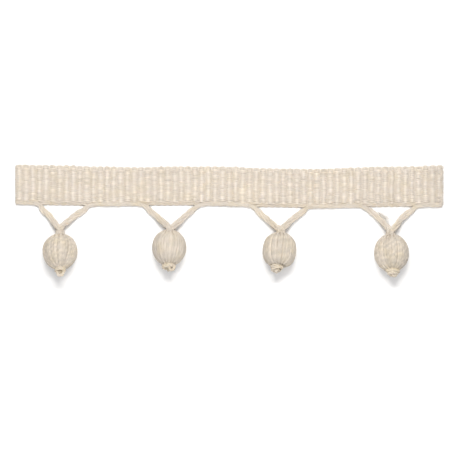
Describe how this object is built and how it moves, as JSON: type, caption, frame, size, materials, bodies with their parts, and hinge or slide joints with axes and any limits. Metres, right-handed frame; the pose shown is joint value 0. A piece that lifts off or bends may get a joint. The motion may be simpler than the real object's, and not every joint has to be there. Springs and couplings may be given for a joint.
{
  "type": "bobble fringe trim",
  "caption": "Cut length of cotton bobble fringe: a ribbed woven heading with a hanger cord along its foot that dips into V loops, each carrying a knotted, thread-covered bobble.",
  "frame": {"origin": "middle of the heading's flat back, which lies on the surface", "axes": "+X along the heading, +Y across it towards its top edge, +Z out of its face; the bobbles hang towards -Y"},
  "size_m": [0.1974, 0.0521, 0.0159],
  "materials": {
    "heading_cotton": "matt cream cotton, ribbed weave",
    "cord_cotton": "matt cream cotton, loosely twisted yarns",
    "bobble_cotton": "matt cream cotton thread laid lengthwise"
  },
  "bodies": {
    "root": {"heading": "heading_cotton", "hanger_cord": "cord_cotton", "bobble_1": "bobble_cotton", "bobble_2": "bobble_cotton", "bobble_3": "bobble_cotton", "bobble_4": "bobble_cotton"}
  },
  "joints": []
}
